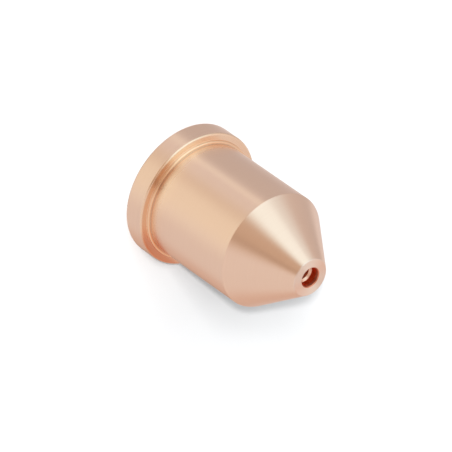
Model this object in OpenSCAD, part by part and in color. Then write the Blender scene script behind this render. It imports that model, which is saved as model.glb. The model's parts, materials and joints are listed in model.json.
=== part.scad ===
// Plasma torch nozzle, turned from one copper bar.
// It stands on the back of its flange, with its axis along +Z and its tip up.

/* [Rear socket] */
// Bore of the socket in the back, which takes the nose of the swirl ring
socket_d = 15; // [14:0.1:17]
// Depth of the socket, from the back of the flange to its seat
socket_depth = 5; // [3:0.1:7]
// Chamfer that leads into the socket
socket_lead = 0.4; // [0.2:0.05:0.8]
// Radius left in the corner between the socket and its seat
seat_corner_r = 0.2; // [0.1:0.05:0.4]

/* [Barrel] */
// Wall of the barrel round the socket
barrel_wall = 1.5; // [1.1:0.05:2.5]
// Length of the plain barrel, from the collar to the foot of the nose
barrel_l = 16.2; // [12:0.1:24]

/* [Flange] */
// How far the flange stands out from the barrel
flange_overhang = 1.5; // [1.2:0.05:3]
// Thickness of the flange
flange_t = 3.3; // [2:0.1:5]
// Radius of the flange's rear corner
flange_rear_r = 0.15; // [0.05:0.05:0.5]
// Radius of the flange's front corner
flange_front_r = 0.3; // [0.05:0.05:0.5]
// Radius left in the corner between the flange and the collar
flange_root_r = 0.05; // [0.03:0.01:0.12]

/* [Collar] */
// How far the collar in front of the flange stands out from the barrel
collar_step = 0.45; // [0.35:0.05:0.8]
// How far the collar reaches in front of the flange
collar_h = 0.4; // [0.3:0.05:1]
// Radius of the collar's front corner
collar_corner_r = 0.33; // [0.05:0.01:0.4]
// Radius left in the corner between the collar and the barrel
collar_root_r = 0.05; // [0.03:0.01:0.12]

/* [Nose] */
// Whole angle of the nose cone
nose_angle = 70; // [60:1:80]
// Diameter of the flat tip
tip_d = 5.8; // [4.8:0.1:8]
// Radius of the edge where the barrel meets the nose
shoulder_r = 0.12; // [0.05:0.01:0.5]
// Radius of the edge round the tip
tip_corner_r = 0.12; // [0.05:0.01:0.3]

/* [Chamber] */
// Bore of the chamber round the electrode
chamber_d = 12.4; // [11:0.1:13.2]
// Chamfer between the seat and the chamber's bore
chamber_lead = 0.3; // [0.1:0.05:0.5]
// Whole angle of the chamber's cone
chamber_angle = 80; // [70:1:90]
// Radius between the chamber's bore and its cone
chamber_corner_r = 1.5; // [0.5:0.1:3]

/* [Orifice] */
// Diameter of the orifice that squeezes the arc
orifice_d = 2.2; // [1.5:0.05:2.5]
// Length of the orifice, from the end of the chamber's cone to the counterbore's floor
orifice_l = 2.3; // [1.5:0.1:3]
// Radius of the edge where the chamber's cone runs into the orifice
throat_r = 0.5; // [0.1:0.05:0.8]
// Diameter of the counterbore in the tip
counterbore_d = 3; // [2.7:0.1:3.5]
// Depth of the counterbore's straight wall, from the tip
counterbore_depth = 1.45; // [0.6:0.05:2]
// Whole angle of the counterbore's floor, as the drill leaves it
drill_angle = 118; // [90:1:140]
// Width of the countersink round the counterbore's mouth
mouth_w = 0.13; // [0.05:0.01:0.3]
// Depth of that countersink
mouth_depth = 0.13; // [0.05:0.01:0.3]

/* [Hidden] */
$fn = 96;

arc_fn = 24;   // facets of a whole circle in the section
over = 1;      // how far a cut runs out past the face that it opens
land = 0.02;   // narrowest flat that stays between two radii of the collar

barrel_r = socket_d / 2 + barrel_wall;
flange_r = barrel_r + flange_overhang;
collar_r = barrel_r + collar_step;
tip_r = tip_d / 2;
socket_r = socket_d / 2;
chamber_r = chamber_d / 2;
orifice_r = orifice_d / 2;
counterbore_r = counterbore_d / 2;
mouth_r = counterbore_r + mouth_w;
// The collar's edge leaves room for the radii at both of its roots
collar_edge_r = min(collar_corner_r, collar_h - flange_root_r - land, collar_step - collar_root_r - land);

// Heights above the back of the flange
collar_z = flange_t + collar_h;
shoulder_z = collar_z + barrel_l;
tip_z = shoulder_z + (barrel_r - tip_r) / tan(nose_angle / 2);
counterbore_z = tip_z - counterbore_depth;
orifice_z = counterbore_z - (counterbore_r - orifice_r) / tan(drill_angle / 2);
throat_z = orifice_z - orifice_l;
chamber_z = throat_z - (chamber_r - orifice_r) / tan(chamber_angle / 2);

// Corners of the half section, as [radius, height]
flange_rear = [flange_r, 0];
flange_front = [flange_r, flange_t];
flange_root = [collar_r, flange_t];
collar_front = [collar_r, collar_z];
collar_root = [barrel_r, collar_z];
shoulder = [barrel_r, shoulder_z];
tip_edge = [tip_r, tip_z];
tip_centre = [0, tip_z];
mouth_edge = [mouth_r, tip_z];
counterbore_end = [counterbore_r, counterbore_z];
orifice_end = [orifice_r, orifice_z];
throat = [orifice_r, throat_z];
chamber_end = [chamber_r, chamber_z];
chamber_start = [chamber_r, socket_depth + chamber_lead];
seat_edge = [chamber_r + chamber_lead, socket_depth];
seat_corner = [socket_r, socket_depth];
socket_mouth = [socket_r, 0];

function unit(v) = v / norm(v);

// What a radius takes off a corner, or fills in, between its point and the arc
module corner_web(before, corner, after, r) {
    to_before = unit(before - corner);
    to_after = unit(after - corner);
    half = acos(to_before * to_after) / 2;
    run = r / tan(half);
    centre = corner + unit(to_before + to_after) * r / sin(half);
    difference() {
        polygon([corner, corner + to_before * run, centre, corner + to_after * run]);
        translate(centre) circle(r, $fn = arc_fn);
    }
}

// The turned outside, as a half section without its bores
module blank_section() {
    difference() {
        union() {
            polygon([
                [0, 0], flange_rear, flange_front, flange_root,
                collar_front, collar_root, shoulder, tip_edge, tip_centre
            ]);
            corner_web(flange_front, flange_root, collar_front, flange_root_r);
            corner_web(collar_front, collar_root, shoulder, collar_root_r);
        }
        corner_web([0, 0], flange_rear, flange_front, flange_rear_r);
        corner_web(flange_rear, flange_front, flange_root, flange_front_r);
        corner_web(flange_root, collar_front, collar_root, collar_edge_r);
        corner_web(collar_root, shoulder, tip_edge, shoulder_r);
        corner_web(shoulder, tip_edge, tip_centre, tip_corner_r);
    }
}

// The socket, with its lead-in, and the chamber with its cone
module chamber_section() {
    difference() {
        polygon([
            [0, -over], [socket_r, -over], seat_corner, seat_edge, chamber_start,
            chamber_end, throat, [0, throat_z]
        ]);
        corner_web(socket_mouth, seat_corner, seat_edge, seat_corner_r);
        corner_web(chamber_start, chamber_end, throat, chamber_corner_r);
    }
    polygon([
        [socket_r - over, -over], [socket_r + socket_lead + over, -over], [socket_r, socket_lead],
        [socket_r - over, socket_lead]
    ]);
}

// The orifice, its rounded throat, and the counterbore with its drilled floor and countersunk mouth
module orifice_section() {
    polygon([[0, throat_z - over], [orifice_r, throat_z - over], [orifice_r, tip_z], [0, tip_z]]);
    corner_web(chamber_end, throat, orifice_end, throat_r);
    polygon([
        [0, orifice_z], orifice_end, counterbore_end, [counterbore_r, tip_z - mouth_depth], mouth_edge,
        [mouth_r, tip_z + over], [0, tip_z + over]
    ]);
}

module nozzle() {
    color("#dcb8a0")
        rotate_extrude()
            difference() {
                blank_section();
                chamber_section();
                orifice_section();
            }
}

nozzle();
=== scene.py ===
import json
import math

import bpy
from mathutils import Euler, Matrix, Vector


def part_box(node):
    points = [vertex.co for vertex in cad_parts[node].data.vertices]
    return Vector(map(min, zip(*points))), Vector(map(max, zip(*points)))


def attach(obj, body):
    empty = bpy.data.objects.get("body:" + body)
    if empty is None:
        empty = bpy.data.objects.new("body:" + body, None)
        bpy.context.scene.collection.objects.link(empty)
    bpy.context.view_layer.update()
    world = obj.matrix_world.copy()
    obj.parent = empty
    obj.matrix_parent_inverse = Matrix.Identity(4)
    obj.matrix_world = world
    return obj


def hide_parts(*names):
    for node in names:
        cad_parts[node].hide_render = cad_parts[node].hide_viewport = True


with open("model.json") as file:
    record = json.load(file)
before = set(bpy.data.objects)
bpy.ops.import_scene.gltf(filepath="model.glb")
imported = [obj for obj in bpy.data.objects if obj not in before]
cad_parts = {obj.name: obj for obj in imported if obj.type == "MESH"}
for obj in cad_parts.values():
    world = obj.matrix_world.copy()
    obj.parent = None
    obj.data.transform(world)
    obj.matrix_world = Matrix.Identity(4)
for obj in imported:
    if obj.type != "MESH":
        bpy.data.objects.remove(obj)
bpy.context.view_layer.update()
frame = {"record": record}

# Plasma torch nozzle, turned from one copper bar, standing on the back of its flange with its axis along +Z.

MM = 0.001


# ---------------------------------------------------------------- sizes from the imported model

MOUNTS = {mount["name"]: mount for mount in frame["record"]["mounts"]}
TIP_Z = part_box("nozzle")[1].z


def radius_of(mount):
    """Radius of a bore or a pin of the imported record."""
    return MOUNTS[mount]["dims"]["r_mm"] * MM


def height_of(mount):
    """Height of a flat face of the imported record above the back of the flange."""
    return MOUNTS[mount]["pos_m"][2]


BARREL_R = radius_of("barrel")
FLANGE_R = radius_of("flange_rim")
SOCKET_R = radius_of("socket")
CHAMBER_R = radius_of("chamber")
CLAMP_Z = height_of("clamp_face")
SEAT_Z = height_of("socket_seat")


# ---------------------------------------------------------------- sizes that the record doesn't hold

COLLAR_STEP = 0.45 * MM
COLLAR_H = 0.4 * MM
NOSE_HALF_ANGLE = math.radians(35)
TIP_R = 2.9 * MM
SOCKET_LEAD = 0.4 * MM
CHAMBER_LEAD = 0.3 * MM
CHAMBER_HALF_ANGLE = math.radians(40)
ORIFICE_R = 1.1 * MM
ORIFICE_L = 2.3 * MM
COUNTERBORE_R = 1.5 * MM
COUNTERBORE_DEPTH = 1.45 * MM
DRILL_HALF_ANGLE = math.radians(59)
MOUTH_W = 0.13 * MM
MOUTH_DEPTH = 0.13 * MM

COLLAR_Z = CLAMP_Z + COLLAR_H
SHOULDER_Z = TIP_Z - (BARREL_R - TIP_R) / math.tan(NOSE_HALF_ANGLE)
COUNTERBORE_Z = TIP_Z - COUNTERBORE_DEPTH
ORIFICE_Z = COUNTERBORE_Z - (COUNTERBORE_R - ORIFICE_R) / math.tan(DRILL_HALF_ANGLE)
THROAT_Z = ORIFICE_Z - ORIFICE_L
CHAMBER_Z = THROAT_Z - (CHAMBER_R - ORIFICE_R) / math.tan(CHAMBER_HALF_ANGLE)

# Radii of the corners
TIP_CORNER = 0.12 * MM
SHOULDER_CORNER = 0.12 * MM
COLLAR_ROOT = 0.05 * MM
COLLAR_CORNER = 0.33 * MM
FLANGE_ROOT = 0.05 * MM
FLANGE_FRONT = 0.3 * MM
FLANGE_REAR = 0.15 * MM
SEAT_CORNER = 0.2 * MM
CHAMBER_CORNER = 1.5 * MM
THROAT_CORNER = 0.5 * MM
DEBURRED = 0.04 * MM         # what a wipe with a file leaves on an edge


# ---------------------------------------------------------------- the turned body

FACETS_ROUND = 256
FACETS_PER_CORNER = 6
SPIN_RADIUS = 20 * MM        # radius of the circle that carries the section round the axis
SUPPORT = 0.005 * MM         # a line of points this far outside each rounding keeps the flats flat


def half_section():
    """The section's corners as (radius, height, corner radius), down the outside and up the bores."""
    return [
        (TIP_R, TIP_Z, TIP_CORNER),
        (BARREL_R, SHOULDER_Z, SHOULDER_CORNER),
        (BARREL_R, COLLAR_Z, COLLAR_ROOT),
        (BARREL_R + COLLAR_STEP, COLLAR_Z, COLLAR_CORNER),
        (BARREL_R + COLLAR_STEP, CLAMP_Z, FLANGE_ROOT),
        (FLANGE_R, CLAMP_Z, FLANGE_FRONT),
        (FLANGE_R, 0, FLANGE_REAR),
        (SOCKET_R + SOCKET_LEAD, 0, DEBURRED),
        (SOCKET_R, SOCKET_LEAD, DEBURRED),
        (SOCKET_R, SEAT_Z, SEAT_CORNER),
        (CHAMBER_R + CHAMBER_LEAD, SEAT_Z, DEBURRED),
        (CHAMBER_R, SEAT_Z + CHAMBER_LEAD, DEBURRED),
        (CHAMBER_R, CHAMBER_Z, CHAMBER_CORNER),
        (ORIFICE_R, THROAT_Z, THROAT_CORNER),
        (ORIFICE_R, ORIFICE_Z, DEBURRED),
        (COUNTERBORE_R, COUNTERBORE_Z, DEBURRED),
        (COUNTERBORE_R, TIP_Z - MOUTH_DEPTH, DEBURRED),
        (COUNTERBORE_R + MOUTH_W, TIP_Z, DEBURRED),
    ]


def with_supports(corners):
    """The same section with a plain point before and after each rounding."""
    points = []
    for i, (r, z, rounding) in enumerate(corners):
        corner = Vector((r, z))
        before = (Vector(corners[i - 1][:2]) - corner).normalized()
        after = (Vector(corners[(i + 1) % len(corners)][:2]) - corner).normalized()
        run = rounding / math.tan(before.angle(after) / 2) + SUPPORT
        points += [(*(corner + before * run), 0), (r, z, rounding), (*(corner + after * run), 0)]
    return points


def lathe_tree():
    """Geometry Nodes that round the section's corners and turn it once round the Z axis.

    Gives the tree and the identifier of each of its inputs by name.
    """
    tree = bpy.data.node_groups.new("Lathe", "GeometryNodeTree")
    tree.is_modifier = True
    kinds = {"Section": "Geometry", "Spin radius": "Float", "Facets round": "Int",
             "Facets per corner": "Int", "Finish": "Material"}
    identifiers = {}
    for name, kind in kinds.items():
        socket = tree.interface.new_socket(name, in_out="INPUT", socket_type="NodeSocket" + kind)
        identifiers[name] = socket.identifier
    tree.interface.new_socket("Turned body", in_out="OUTPUT", socket_type="NodeSocketGeometry")

    def node(kind, settings=(), **sockets):
        """Adds a node with its settings and sockets, and gives its first output."""
        made = tree.nodes.new(kind)
        for name, value in dict(settings).items():
            setattr(made, name, value)
        for name, value in sockets.items():
            socket = made.inputs[name.replace("_", " ")]
            if isinstance(value, bpy.types.NodeSocket):
                tree.links.new(value, socket)
            else:
                socket.default_value = value
        return made.outputs[0]

    given = tree.nodes.new("NodeGroupInput").outputs
    section = node("GeometryNodeMeshToCurve", Mesh=given["Section"])
    corner_radius = node("GeometryNodeInputNamedAttribute", {"data_type": "FLOAT"}, Name="corner_radius")
    rounded = node("GeometryNodeFilletCurve", {"mode": "POLY"}, Curve=section,
                   Count=given["Facets per corner"], Radius=corner_radius)
    circle = node("GeometryNodeCurvePrimitiveCircle", {"mode": "RADIUS"},
                  Resolution=given["Facets round"], Radius=given["Spin radius"])
    body = node("GeometryNodeCurveToMesh", Curve=circle, Profile_Curve=rounded)
    smooth = node("GeometryNodeSetShadeSmooth", Geometry=body, Shade_Smooth=True)
    real = node("GeometryNodeRealizeInstances", Geometry=smooth)
    finished = node("GeometryNodeSetMaterial", Geometry=real, Material=given["Finish"])
    tree.links.new(finished, tree.nodes.new("NodeGroupOutput").inputs[0])
    return tree, identifiers


def section_mesh(name, corners):
    """The closed half section as a loop of edges, drawn the way round that the lathe's circle carries it."""
    points = with_supports(corners)
    count = len(points)
    section = bpy.data.meshes.new(name)
    section.from_pydata([(r - SPIN_RADIUS, -z, 0) for r, z, _ in points],
                        [(i, (i + 1) % count) for i in range(count)], [])
    rounding = section.attributes.new("corner_radius", "FLOAT", "POINT")
    rounding.data.foreach_set("value", [point[2] for point in points])
    return section


def turned_body(name, corners, finish):
    """A plain mesh turned from a closed half section."""
    blank = bpy.data.objects.new(name + "_blank", section_mesh(name + "_section", corners))
    bpy.context.scene.collection.objects.link(blank)
    tree, identifiers = lathe_tree()
    lathe = blank.modifiers.new("Lathe", "NODES")
    lathe.node_group = tree
    lathe[identifiers["Spin radius"]] = SPIN_RADIUS
    lathe[identifiers["Facets round"]] = FACETS_ROUND
    lathe[identifiers["Facets per corner"]] = FACETS_PER_CORNER
    lathe[identifiers["Finish"]] = finish
    evaluated = blank.evaluated_get(bpy.context.evaluated_depsgraph_get())
    mesh = bpy.data.meshes.new_from_object(evaluated)
    mesh.name = name
    blank.modifiers.remove(lathe)
    bpy.data.objects.remove(blank)
    body = bpy.data.objects.new(name, mesh)
    bpy.context.scene.collection.objects.link(body)
    return body


# ---------------------------------------------------------------- shader trees


class Wire:
    """A socket of a shader tree. Arithmetic on wires adds Math nodes."""

    def __init__(self, tree, socket=None):
        self.tree = tree
        self.socket = socket

    def node(self, kind, settings=(), sockets=(), out=0):
        """Adds a node, makes its settings, then sets or links its sockets, and gives one output as a wire."""
        made = self.tree.nodes.new(kind)
        for name, value in dict(settings).items():
            setattr(made, name, value)
        for name, value in dict(sockets).items():
            if isinstance(value, Wire):
                self.tree.links.new(value.socket, made.inputs[name])
            else:
                made.inputs[name].default_value = value
        return Wire(self.tree, made.outputs[out] if len(made.outputs) else None)

    def out(self, name):
        """Another output of the same node."""
        return Wire(self.tree, self.socket.node.outputs[name])

    def split(self):
        """The X, Y and Z of a vector."""
        x = self.node("ShaderNodeSeparateXYZ", sockets={0: self})
        return x, x.out("Y"), x.out("Z")

    def maths(self, operation, *values):
        """A Math node on wires and numbers."""
        return self.node("ShaderNodeMath", {"operation": operation}, dict(enumerate(values)))

    def __add__(self, other):
        return self.maths("ADD", self, other)

    def __radd__(self, other):
        return self.maths("ADD", other, self)

    def __sub__(self, other):
        return self.maths("SUBTRACT", self, other)

    def __rsub__(self, other):
        return self.maths("SUBTRACT", other, self)

    def __mul__(self, other):
        return self.maths("MULTIPLY", self, other)

    def __rmul__(self, other):
        return self.maths("MULTIPLY", other, self)

    def __truediv__(self, other):
        return self.maths("DIVIDE", self, other)

    def __rtruediv__(self, other):
        return self.maths("DIVIDE", other, self)

    def ramp(self, start, end):
        """0 at start and 1 at end, with a soft change between. It falls where end is the lower one."""
        return self.node("ShaderNodeMapRange", {"interpolation_type": "SMOOTHSTEP"},
                         {0: self, 1: start, 2: end})

    def above(self, edge, fade):
        """1 above an edge and 0 below it, with a soft change as wide as the fade across it."""
        return self.ramp(edge - fade / 2, edge + fade / 2)

    def below(self, edge, fade):
        """1 below an edge and 0 above it, with a soft change as wide as the fade across it."""
        return self.ramp(edge + fade / 2, edge - fade / 2)

    def mix_colours(self, low, high):
        """From colour low at 0 to colour high at 1, by this wire."""
        return self.node("ShaderNodeMix", {"data_type": "RGBA"}, {0: self, 6: low, 7: high}, out=2)


def new_finish(name):
    """An empty material, as a wire to build on."""
    material = bpy.data.materials.new(name)
    material.use_nodes = True
    material.node_tree.nodes.clear()
    return material, Wire(material.node_tree)


# ---------------------------------------------------------------- the copper

CUTS_PER_MM = 3.0            # coarsest rings that the tool leaves
CUT_DEPTH = 0.01 * MM
PATCH_SIZE = 5 * MM          # coarsest patches of tone from handling
SATIN = 0.27                 # roughness of a plain turned face
RIM_HIGHLIGHT = 0.3               # how much of the painted bead highlight the flange's front edge takes
ROOT_SHADE_AMOUNT = 0.35                  # how much painted shade darkens the copper along the barrel's root

DULL_COPPER = (0.91, 0.59, 0.425, 1)
BRIGHT_COPPER = (0.98, 0.68, 0.515, 1)
PAINTED_PALE_TIP = (0.97, 0.71, 0.57, 1)         # painted pale light on the flat of the tip
CORNER_REFLECTION = (0.96, 0.67, 0.48, 1)        # painted reflection round the collar, as one surface shows in the next
PAINTED_DARK_REFLECTION = (0.74, 0.3, 0.165, 1)       # painted darker, redder reflection of shade at the same place on the +X side
BEAD_HIGHLIGHT = (1.0, 0.61, 0.38, 1)           # painted highlight on the collar's rounding and the flange's front edge
# painted shade in the corner along the barrel's root
ROOT_SHADE = (0.5, 0.26, 0.16, 1)
DRILLED_FLOOR_REFLECTION = (1.0, 0.62, 0.44, 1)        # painted warm reflection on the counterbore's floor
DEEP_WALL_SHADE = (0.84, 0.16, 0.05, 1)            # painted deep shade and red reflection on the counterbore's wall
# Painted shade and reflection by the mouth, on its edge and in the orifice
WALL_BY_MOUTH_SHADE = (0.6, 0.28, 0.18, 1)
MOUTH_EDGE_REFLECTION = (0.8, 0.27, 0.15, 1)
ORIFICE_WALL_SHADE = (0.8, 0.33, 0.18, 1)


def painted_collar_light(colour, corner, outside, x, z, radius):
    """Painted reflection: warmer copper round the collar, as one surface shows in the next, darker and redder
    on the +X side; a painted highlight on the roundings and painted shade along the barrel's root.
    """
    # Painted darker, redder reflection of shade on the +X side of the collar's corner
    plus_x_side = x.above(BARREL_R - 0.1 * MM, fade=1.8 * MM)
    colour = corner.mix_colours(colour, plus_x_side.mix_colours(CORNER_REFLECTION, PAINTED_DARK_REFLECTION))
    # Painted highlight on the collar's rounding, and part of it on the flange's front edge
    bead = corner * z.above(CLAMP_Z + 0.06 * MM, fade=0.08 * MM)
    bead = bead * radius.above(BARREL_R + 0.12 * MM, fade=0.08 * MM)
    rim = corner * radius.above(FLANGE_R - 0.25 * MM, fade=0.1 * MM)
    colour = (bead + rim * RIM_HIGHLIGHT).mix_colours(colour, BEAD_HIGHLIGHT)
    # Painted shade in the corner along the barrel's root
    root = z.below(COLLAR_Z + 0.16 * MM, fade=0.08 * MM) * z.above(COLLAR_Z, fade=0.04 * MM) * outside
    return (root * ROOT_SHADE_AMOUNT).mix_colours(colour, ROOT_SHADE)


def painted_hole_light(colour, z, radius):
    """Painted shade and reflection inside the hole: redder copper on the drilled floor, the wall, the
    countersink and the orifice.
    """
    drilled = radius.below(COUNTERBORE_R + 0.05 * MM, fade=0.1 * MM)
    drilled = drilled * z.below(COUNTERBORE_Z + 0.025 * MM, fade=0.05 * MM)
    colour = drilled.mix_colours(colour, DRILLED_FLOOR_REFLECTION)
    wall = radius.above(COUNTERBORE_R - 0.025 * MM, fade=0.05 * MM)
    wall = wall * radius.below(COUNTERBORE_R + 0.06 * MM, fade=0.08 * MM)
    wall = wall * z.above(COUNTERBORE_Z - 0.025 * MM, fade=0.05 * MM)
    by_mouth = z.above(TIP_Z - 0.55 * MM, fade=0.14 * MM)
    colour = wall.mix_colours(colour, by_mouth.mix_colours(DEEP_WALL_SHADE, WALL_BY_MOUTH_SHADE))
    mouth = radius.below(COUNTERBORE_R + MOUTH_W, fade=0.04 * MM)
    mouth = mouth * z.above(TIP_Z - MOUTH_DEPTH - 0.015 * MM, fade=0.03 * MM)
    colour = mouth.mix_colours(colour, MOUTH_EDGE_REFLECTION)
    orifice = radius.below(ORIFICE_R + 0.025 * MM, fade=0.05 * MM)
    return orifice.mix_colours(colour, ORIFICE_WALL_SHADE)


def fine_turned_copper():
    """Bare copper as the lathe leaves it: fine rings from the tool, so highlights run along the axis. Painted
    reflection, highlight and shade lie over it round the collar and in the hole, and painted pale light lies
    on the tip's flat.
    """
    copper, wire = new_finish("fine_turned_copper")
    place = wire.node("ShaderNodeTexCoord").out("Object")
    x, y, z = place.split()
    radius = wire.maths("SQRT", x * x + y * y)
    rings = wire.node("ShaderNodeCombineXYZ", sockets={"X": radius / MM, "Y": z / MM})
    cut = wire.node("ShaderNodeTexNoise", {"noise_dimensions": "2D"},
                    {"Vector": rings, "Scale": CUTS_PER_MM, "Detail": 5.0, "Roughness": 0.75})
    patches = wire.node("ShaderNodeTexNoise", sockets={
        "Vector": place, "Scale": 1 / PATCH_SIZE, "Detail": 6.0, "Roughness": 0.75})
    bump = wire.node("ShaderNodeBump", sockets={"Height": cut, "Strength": 0.15, "Distance": CUT_DEPTH})

    outside = radius.above(BARREL_R - 0.6 * MM, fade=0.8 * MM)
    # Round the collar: where the painted reflection, highlight and shade go, and where the copper is a little
    # glossier
    corner = outside * z.above(CLAMP_Z - 0.225 * MM, fade=0.25 * MM)
    corner = corner * z.below(COLLAR_Z + 1.4 * MM, fade=3.2 * MM)
    faced = z.above(TIP_Z - 0.125 * MM, fade=0.05 * MM)
    tone = (cut + patches) * 0.5
    colour = tone.mix_colours(DULL_COPPER, BRIGHT_COPPER)
    colour = painted_collar_light(colour, corner, outside, x, z, radius)
    # Painted pale light on the tip's flat
    colour = faced.mix_colours(colour, PAINTED_PALE_TIP)
    colour = painted_hole_light(colour, z, radius)
    roughness = SATIN + patches * 0.06 + faced * 0.1 - corner * 0.05     # the faced tip is duller

    shader = wire.node("ShaderNodeBsdfPrincipled", sockets={
        "Base Color": colour, "Metallic": 1.0, "Roughness": roughness,
        "Anisotropic": 0.85, "Anisotropic Rotation": 0.25, "Normal": bump})
    wire.node("ShaderNodeOutputMaterial", sockets={"Surface": shader})
    return copper


nozzle = turned_body("turned_nozzle", half_section(), fine_turned_copper())
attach(nozzle, "root")
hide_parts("nozzle")


# ---------------------------------------------------------------- studio

WHITE = (1, 1, 1, 1)
PALE_FLOOR = (0.85, 0.86, 0.87, 1)
PLAIN_LIGHT = (0.5, 0.5, 0.5, 1)             # what the room gives to everything but mirrored light
ROOM_WALLS = (0.8, 0.81, 0.83, 1)

# What the metal mirrors: colour, then the centre, half size and soft edge in degrees, each across and up.
# Across, 0 is the camera's side and positive goes towards +X. A later panel covers an earlier one.
PANELS = {
    "large cool window": ((1.09, 1.48, 1.68), (-50, 45), (50, 36), (25, 40)),
    "unlit warm wall by the camera": ((0.6, 0.5, 0.41), (3, 12), (30.5, 70), (28, 60)),
    "white card low in front": ((1.1, 1.2, 1.12), (15, -36), (36, 18), (60, 35)),
    "grey side": ((0.6, 0.6, 0.62), (-107, -28), (38, 45), (15, 25)),
    "narrow strip light": ((1.14, 1.26, 1.2), (-58, -29), (4.5, 9), (10, 15)),
    "warm dim side low at the back": ((0.7, 0.55, 0.48), (144, -38), (23, 38), (35, 30)),
    "copper-coloured card behind": ((0.74, 0.42, 0.28), (147, 38), (24, 14), (22, 18)),
    "pale wall high at the back": ((0.95, 0.98, 0.98), (-140, 54), (32, 14), (25, 20)),
    "the camera's own dark front": ((0.2, 0.13, 0.1), (21, 51), (8, 12), (10, 8)),
    "dark gap low at the back": ((0.25, 0.19, 0.16), (165, -46), (9, 14), (10, 14)),
    "shade underneath": ((0.12, 0.1, 0.15), (0, -90), (360, 25), (10, 30)),
}

# Lamps that throw the shadow: azimuth and elevation in degrees, size in metres, watts
LAMP_DISTANCE = 3
SHADOW_LAMPS = {
    "sharp_lamp": (-2.2, 38.8, 0.09, 52),
    "soft_lamp": (-9, 37, 0.45, 31),
    "broad_lamp": (-30, 40, 1.8, 32),
}


def around(azimuth, elevation, distance):
    """A point round the nozzle: azimuth 0 is towards the camera's side (-Y), positive towards +X."""
    a = math.radians(azimuth)
    e = math.radians(elevation)
    return Vector((math.sin(a) * math.cos(e), -math.cos(a) * math.cos(e), math.sin(e))) * distance


def camera():
    """A long lens, looking down on the standing nozzle and rolled, so that its tip points right and down."""
    looks_down = math.radians(39.66)
    roll = math.radians(124.99)
    turn = Euler((math.pi / 2 - looks_down, 0, 0)).to_matrix() @ Euler((0, 0, roll)).to_matrix()
    # The middle of the flange's back, as it lies in the camera's own axes
    flange_in_view = Vector((-6.127, 5.332, -931.4)) * MM
    data = bpy.data.cameras.new("camera")
    data.sensor_width = 36
    data.lens = 514.8
    eye = bpy.data.objects.new("camera", data)
    eye.matrix_world = turn.to_4x4()
    eye.location = -(turn @ flange_in_view)
    bpy.context.scene.collection.objects.link(eye)
    bpy.context.scene.camera = eye


def shadow_lamp(name, azimuth, elevation, size, watts):
    """A square soft box that only throws the shadow on the floor: the metal doesn't mirror it."""
    data = bpy.data.lights.new(name, "AREA")
    data.size = size
    data.energy = watts
    box = bpy.data.objects.new(name, data)
    box.location = around(azimuth, elevation, LAMP_DISTANCE)
    box.rotation_euler = box.location.to_track_quat("Z", "Y").to_euler()
    box.visible_camera = False
    box.visible_glossy = False
    bpy.context.scene.collection.objects.link(box)


def pale_floor():
    """A white floor that keeps the shadow. The metal doesn't mirror it, and from below it is see-through."""
    bpy.ops.mesh.primitive_circle_add(vertices=128, radius=3, fill_type="NGON")
    floor = bpy.context.object
    floor.name = "floor"
    floor.visible_glossy = False
    material, wire = new_finish("pale_floor")
    white = wire.node("ShaderNodeBsdfPrincipled", sockets={
        "Base Color": PALE_FLOOR, "Roughness": 0.9, "Specular IOR Level": 0.0})
    clear = wire.node("ShaderNodeBsdfTransparent")
    below = wire.node("ShaderNodeNewGeometry").out("Backfacing")
    shader = wire.node("ShaderNodeMixShader", sockets={0: below, 1: white, 2: clear})
    wire.node("ShaderNodeOutputMaterial", sockets={"Surface": shader})
    floor.data.materials.append(material)


def soft_room():
    """A room with large soft panels, painted by direction, that the metal mirrors.

    Its walls give everything else a plain soft light, and the camera sees it plain white.
    """
    world = bpy.data.worlds.new("soft_room")
    world.use_nodes = True
    world.node_tree.nodes.clear()
    wire = Wire(world.node_tree)
    x, y, z = wire.node("ShaderNodeTexCoord").split()
    azimuth = wire.maths("ARCTAN2", x, 0 - y) * math.degrees(1)
    elevation = wire.maths("ARCSINE", z) * math.degrees(1)

    def panel(light, colour, centre, half_size, fades):
        """Paints a panel over the light so far."""
        across = wire.maths("ABSOLUTE", wire.maths("WRAP", azimuth - centre[0], 180, -180))
        up = wire.maths("ABSOLUTE", elevation - centre[1])
        mask = across.below(half_size[0], fades[0]) * up.below(half_size[1], fades[1])
        return mask.mix_colours(light, (*colour, 1))

    mirrored = ROOM_WALLS
    for colour, centre, half_size, fades in PANELS.values():
        mirrored = panel(mirrored, colour, centre, half_size, fades)
    ray = wire.node("ShaderNodeLightPath")
    light = ray.out("Is Glossy Ray").mix_colours(PLAIN_LIGHT, mirrored)
    light = ray.out("Is Camera Ray").mix_colours(light, WHITE)
    room = wire.node("ShaderNodeBackground", sockets={"Color": light})
    wire.node("ShaderNodeOutputWorld", sockets={"Surface": room})
    bpy.context.scene.world = world


camera()
pale_floor()
soft_room()
for name, (azimuth, elevation, size, watts) in SHADOW_LAMPS.items():
    shadow_lamp(name, azimuth, elevation, size, watts)

bpy.context.scene.view_settings.view_transform = "Standard"
